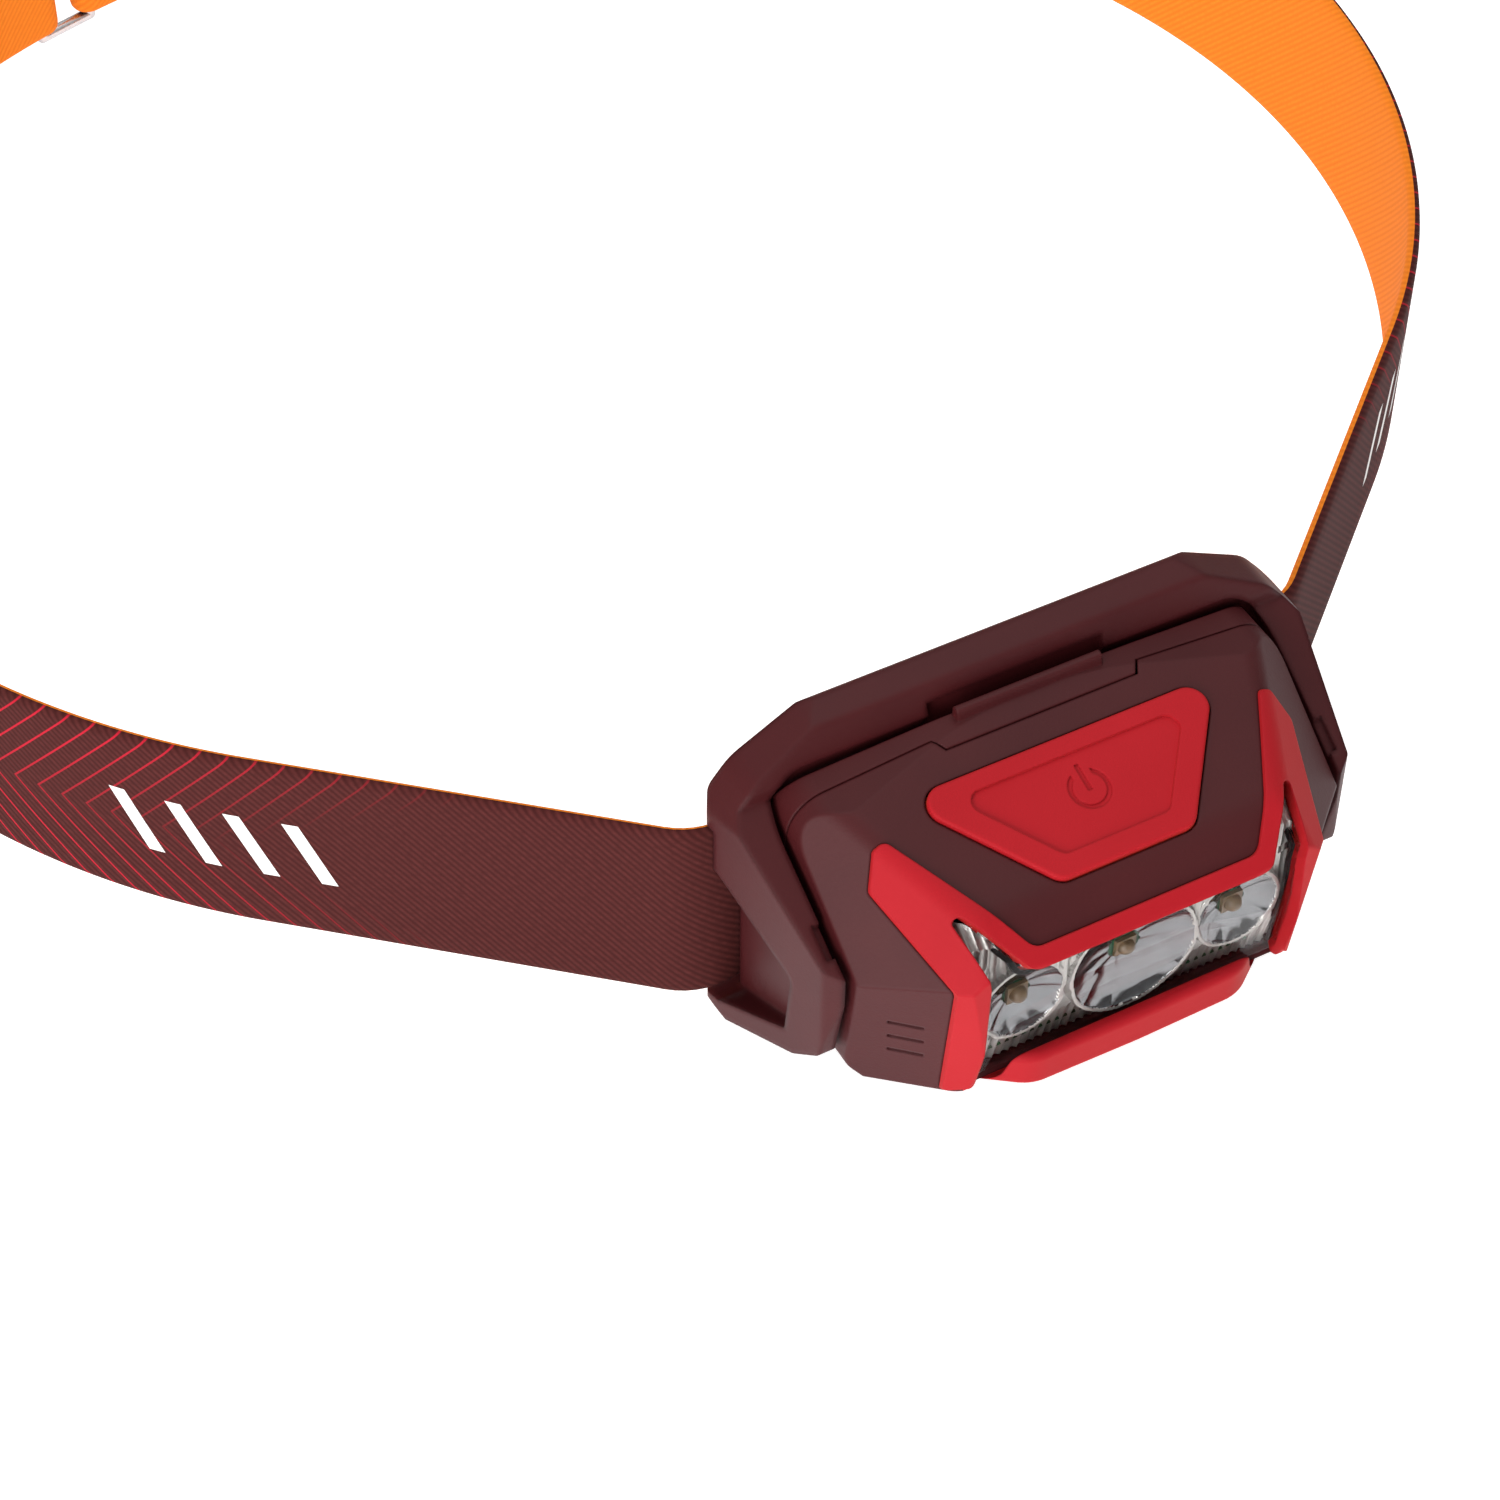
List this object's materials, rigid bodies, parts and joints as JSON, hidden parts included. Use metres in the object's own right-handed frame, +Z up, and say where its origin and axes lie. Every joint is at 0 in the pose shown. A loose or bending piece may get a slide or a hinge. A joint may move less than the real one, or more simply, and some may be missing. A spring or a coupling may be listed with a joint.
{
  "type": "headlamp",
  "caption": "Camping headlamp: a lamp body with window, reflector bowls and power button tilts on a bracket carried by an adjustable elastic headband.",
  "frame": {"origin": "centre of the opening for the head, at the middle of the band's width", "axes": "+X to the wearer's left, +Y from the lamp towards the back of the head, +Z up"},
  "size_m": [0.2074, 0.232, 0.039],
  "materials": {
    "burgundy_shell": "fine moulded texture, matt",
    "soft_red": "soft-touch, matt",
    "button_red": "fine grain, matt",
    "clear_lens": "clear polished",
    "metallised": "bright vacuum metallised",
    "webbing": "woven twill, orange on the inner side",
    "steel_wire": "plated",
    "slider_plastic": "satin",
    "seal_rubber": "matt black",
    "spring_steel": "nickel plated",
    "carrier_plastic": "black",
    "cell_wrap": "plain sleeve",
    "circuit_board": "solder mask",
    "led_package": "phosphor yellow"
  },
  "bodies": {
    "bracket": {"bracket": "burgundy_shell", "tilt_pin_left": "steel_wire", "tilt_pin_right": "steel_wire", "headband": "webbing", "band_ring": "steel_wire"},
    "slider": {"band_slider": "slider_plastic"},
    "case": {"rear_case": "burgundy_shell", "case_seal": "seal_rubber", "case_hinge_pin": "steel_wire", "contact_plate_left": "spring_steel", "contact_plate_right": "spring_steel", "contact_carrier_left": "carrier_plastic", "contact_carrier_right": "carrier_plastic", "contact_springs": "spring_steel", "battery_top": "cell_wrap", "battery_middle": "cell_wrap", "battery_bottom": "cell_wrap"},
    "front": {"front_shell": "burgundy_shell", "red_trim": "soft_red", "bottom_bumper": "soft_red", "window_lens": "clear_lens", "lens_gasket": "seal_rubber", "reflector": "metallised", "led_board": "circuit_board", "led_centre": "led_package", "led_right": "led_package", "led_left": "led_package", "main_board": "circuit_board", "board_screws": "steel_wire", "tact_switch": "carrier_plastic"},
    "button": {"power_button": "button_red"}
  },
  "joints": [
    {"name": "lamp_tilt", "type": "hinge", "parent": "bracket", "child": "case", "pos_m": [0, -0.10359, -0.0085], "axis": [1, 0, 0], "range_deg": [0, 55]},
    {"name": "case_open", "type": "hinge", "parent": "case", "child": "front", "pos_m": [0, -0.10899, -0.0129], "axis": [1, 0, 0], "range_deg": [0, 70]},
    {"name": "button_press", "type": "slide", "parent": "front", "child": "button", "axis": [0, 0.2924, -0.9563], "range_m": [0, 0.0008], "stiffness_N_per_m": 2500, "springref_m": -0.0004},
    {"name": "band_adjust", "type": "hinge", "parent": "bracket", "child": "slider", "pos_m": [0, -0.00971, 0], "axis": [0, 0, -1], "range_deg": [0, 26]}
  ]
}
